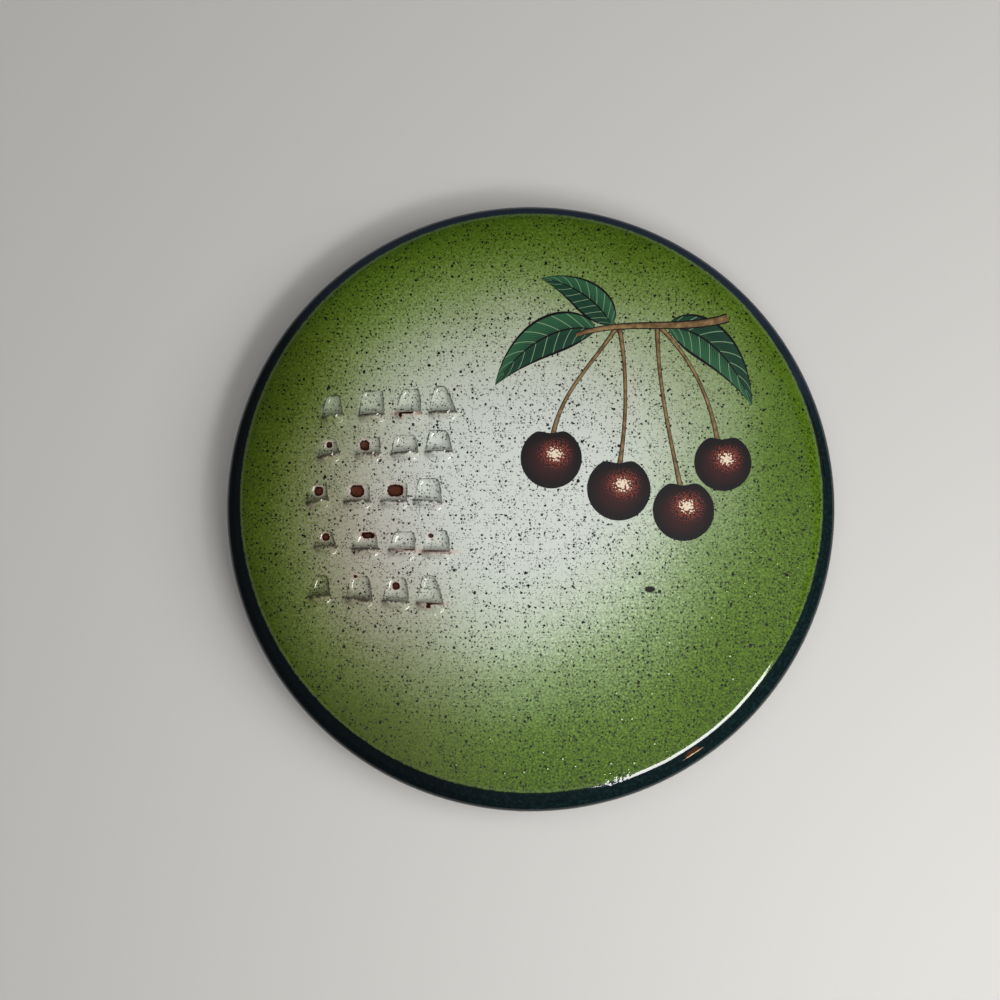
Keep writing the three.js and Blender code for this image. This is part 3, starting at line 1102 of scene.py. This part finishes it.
tree, shader = start_finish("dark_glaze", {"IOR": RIM_IOR}, rim)
place = plate_place()
worn = ragged_patch(from_above(place), *WORN_PATCH)
rough = plus(worn, WORN_ROUGH, waver(RIM_ROUGH, place, *RIM_GLOSS_WAVER))
height = waver(waver(0.0, place, *RIM_PEEL), place, *RIM_WAVE)
dress(shader, plate_colour(place), rough, height)
print("rim finish:", len(tree.nodes), "nodes")

# %% [markdown]
# Red earthenware is matt and gritty, with fine rings from the wheel and soft patches from the sponge. The
# rings are a wave on the distance from the axis, so they stay round.

# %% The finish of the bare clay
CLAY_WARM, CLAY_COOL = colour(172, 98, 66), colour(146, 78, 54)
SPONGE_LUMP, SPONGE_TURN = (11, 3.0), (-0.2, 0.2)
GRIT_PALE, PALE_GRIT = colour(206, 160, 128), (1.1, 0.08, 0.2, 0.5)
GRIT_DARK, DARK_GRIT = colour(78, 40, 30), (0.9, 0.06, 0.16, 0.4)
GRIT_SHARE = 0.6
RING_WIDTH, RING_WAVER, RING_HEIGHT, RING_SHADE = 1.4, (16, 1.6), 0.02, 0.14
CLAY_ROUGH, CLAY_ROUGH_WAVER, CLAY_GRAIN = 0.82, (3, 0.2), (0.4, 0.12, 3.0)

tree, shader = start_finish("bare_clay", {}, base)
place = plate_place()
flat = from_above(place)
shade = blend(fade(cloud(place, *SPONGE_LUMP), *SPONGE_TURN), CLAY_WARM, CLAY_COOL)
shade = speckle(shade, place, PALE_GRIT, GRIT_SHARE, GRIT_PALE)
shade = speckle(shade, flat, DARK_GRIT, GRIT_SHARE, GRIT_DARK)
radius = waver(distance(flat, MIDDLE), place, *RING_WAVER)
rings = calc("SINE", times(radius, 2 * math.pi / RING_WIDTH))
shade = blend(fade(rings, -1, 1, 0.0, RING_SHADE), shade, GRIT_DARK)
height = plus(rings, RING_HEIGHT, waver(0.0, place, *CLAY_GRAIN))
dress(shader, shade, waver(CLAY_ROUGH, place, *CLAY_ROUGH_WAVER), height)
print("clay finish:", len(tree.nodes), "nodes")

# %% [markdown]
# The print is drawn like an old engraving: flat colour, black outlines, hatching for shade and stipple
# for light. Each part's own map gives the place across and along it. The cherry's light is dots that
# shrink away from the brightest point.

# %% The finish of the print
INK, PRINT = colour(14, 14, 14), {"Roughness": 0.1, "IOR": GLAZE_IOR}
LEAF_SHADE, LEAF_LIGHT, LEAF_TURN = colour(24, 62, 44), colour(44, 92, 62), (0.3, 0.7)
HATCH, HATCH_FADE = (46.0, 0.26), (0.1, 0.8, 0.75, 0.25)
VEIN_LEAN, VEINS, VEIN_SHARE, VEIN_PALE = -0.16, (9.0, 0.06), 0.8, colour(128, 158, 120)
LINE_CORE, MIDRIB, LEAF_EDGE = 0.4, (0.07, 0.03), (0.84, 0.9)
BARK_DARK, BARK_LIGHT, BARK_LUMP, BARK_TURN = colour(98, 74, 46), colour(142, 116, 78), 1.2, (-0.2, 0.2)
BARK_SHADE, BARK_SIDE, BARK_EDGE = colour(52, 34, 22), (0.5, 0.9, 0.0, 0.6), (0.62, 0.78)
FRUIT_MIDDLE, FRUIT_ROUND = (0.5, 0.5, 0), (0.2, 0.48)
FRUIT_DEEP, FRUIT_BLACK = colour(50, 18, 20), colour(12, 8, 9)
FRUIT_LIT, DOT_SOFT = (0.56, 0.6, 0), 0.08
DOTS = [  # cell, how the size fades away from the light, colour
    (0.42, (0.42, 0.1, -0.1, 0.62), colour(112, 48, 34)),
    (0.5, (0.24, 0.0, -0.1, 0.72), colour(226, 208, 184)),
]


def own_map():
    """The place across and along a part of the print, each from 0 to 1."""
    both = put("SeparateXYZ", {"Vector": put("TexCoord", {}).outputs["UV"]})
    return both.outputs["X"], both.outputs["Y"]


def from_midrib(across):
    """0 on the middle line of a strip, 1 at its edges."""
    return calc("ABSOLUTE", plus(across, 2.0, -1.0))


def stripes(value, count, width):
    """1 on thin lines, so many of them while the value goes from 0 to 1."""
    fold = calc("PINGPONG", times(value, count), 0.5)
    return fade(fold, width, width * LINE_CORE)


tree, shader = start_finish("leaf_print", PRINT, *leaves)
across, along = own_map()
off = from_midrib(across)
shade = blend(fade(across, *LEAF_TURN), LEAF_SHADE, LEAF_LIGHT)
vein = plus(off, VEIN_LEAN, along)
shade = blend(times(stripes(vein, *HATCH), fade(off, *HATCH_FADE)), shade, INK)
shade = blend(times(stripes(vein, *VEINS), VEIN_SHARE), shade, VEIN_PALE)
for line in (MIDRIB, LEAF_EDGE):
    shade = blend(fade(off, *line), shade, INK)
join(shade, shader.inputs["Base Color"])

tree, shader = start_finish("bark_print", PRINT, twig, *stalks)
across = own_map()[0]
shade = blend(fade(cloud(plate_place(), BARK_LUMP), *BARK_TURN), BARK_DARK, BARK_LIGHT)
shade = blend(fade(across, *BARK_SIDE), shade, BARK_SHADE)
shade = blend(fade(from_midrib(across), *BARK_EDGE), shade, INK)
join(shade, shader.inputs["Base Color"])

tree, shader = start_finish("fruit_print", PRINT, *cherries)
flat = from_above(plate_place())
own = put("TexCoord", {}).outputs["UV"]
shade = blend(fade(distance(own, FRUIT_MIDDLE), *FRUIT_ROUND), FRUIT_DEEP, FRUIT_BLACK)
for cell, shrink, tint in DOTS:
    size = fade(distance(own, FRUIT_LIT), *shrink)
    inside = calc("SUBTRACT", size, cells_of(flat, cell)["Distance"])
    shade = blend(fade(inside, -DOT_SOFT, DOT_SOFT), shade, tint)
join(shade, shader.inputs["Base Color"])
print("printed:", len(leaves), "leaves,", len(stalks), "stalks,", len(cherries), "cherries")

# %% [markdown]
# The studio is plain: a pale floor, a strip lamp to the south-east for the long streak on the shoulder
# and the glints on the teeth, a big soft lamp overhead and one on the right. Those two are filtered, as
# with a polariser, so they light the glaze without being mirrored in it. The sky is dim but for a soft
# glow straight above. Together they have a strength of about one, so colours come out as written.

# %% Floor and lights
FLOOR_SIZE, FLOOR = 4, {"Base Color": colour(198, 196, 192), "Roughness": 0.6}
LAMPS = {  # azimuth, elevation, distance, size, power in watts, whether the glaze mirrors it
    "strip_lamp": (-51, 53, 0.337, (0.165, 0.06), 0.46, True),
    "ceiling_lamp": (90, 88, 1.2, (1.4, 1.4), 5.8, False),
    "window_lamp": (-10, 40, 0.62, (0.4, 0.4), 2.2, False),
}
SKY, GLOW = 0.07, 0.45
GLOW_TOWARDS, GLOW_REACH = (math.radians(6), math.radians(-5)), math.radians(21)

start_clean()
bpy.ops.mesh.primitive_plane_add(size=FLOOR_SIZE)
floor = named("floor")
start_finish("pale_floor", FLOOR, floor)

for name, (azimuth, elevation, reach, size, power, mirrored) in LAMPS.items():
    azimuth, elevation = math.radians(azimuth), math.radians(elevation)
    towards = Vector((
        math.cos(elevation) * math.cos(azimuth),
        math.cos(elevation) * math.sin(azimuth),
        math.sin(elevation),
    ))
    start_clean()
    bpy.ops.object.light_add(type="AREA", location=towards * reach)
    lamp = named(name)
    lamp.data.shape = "RECTANGLE"
    lamp.data.size, lamp.data.size_y = size
    lamp.data.energy = power
    lamp.visible_glossy = mirrored
    lamp.rotation_euler = towards.to_track_quat("Z", "Y").to_euler()
    print(name, "at", [round(part, 3) for part in lamp.location], "of", power, "W")

world = bpy.data.worlds.new("sky")
bpy.context.scene.world = world
world.use_nodes = True
tree = world.node_tree
sky = tree.nodes["Background"]
sky.inputs["Color"].default_value = (1, 1, 1, 1)
above = Vector((math.tan(GLOW_TOWARDS[0]), math.tan(GLOW_TOWARDS[1]), 1)).normalized()
near = how_far(put("TexCoord", {}).outputs["Generated"], above)
join(fade(near, math.cos(GLOW_REACH), 1, SKY, SKY + GLOW), sky.inputs["Strength"])
bpy.context.scene.view_settings.view_transform = "Standard"
print("sky of strength", SKY, "with a glow of", GLOW)

# %% [markdown]
# The photograph was taken from almost straight above, leaning a little to the south. The camera looks at
# the middle of the top face, and a small shift puts the plate where it is in the frame.

# %% Camera
CAMERA_REACH, CAMERA_LEAN = 280, math.radians(6)
LENS, SENSOR = 51.63, 36
SHIFT = (-0.0308, 0.0012)
NEAREST = 0.01

start_clean()
camera_back = CAMERA_REACH * math.sin(CAMERA_LEAN)
camera_up = TOP + CAMERA_REACH * math.cos(CAMERA_LEAN)
bpy.ops.object.camera_add(location=(0, -camera_back * MM, camera_up * MM), rotation=(CAMERA_LEAN, 0, 0))
camera = bpy.context.active_object
camera.data.sensor_width = SENSOR
camera.data.lens = LENS
camera.data.shift_x, camera.data.shift_y = SHIFT
camera.data.clip_start = NEAREST
bpy.context.scene.camera = camera
print("camera at", [round(part, 3) for part in camera.location])
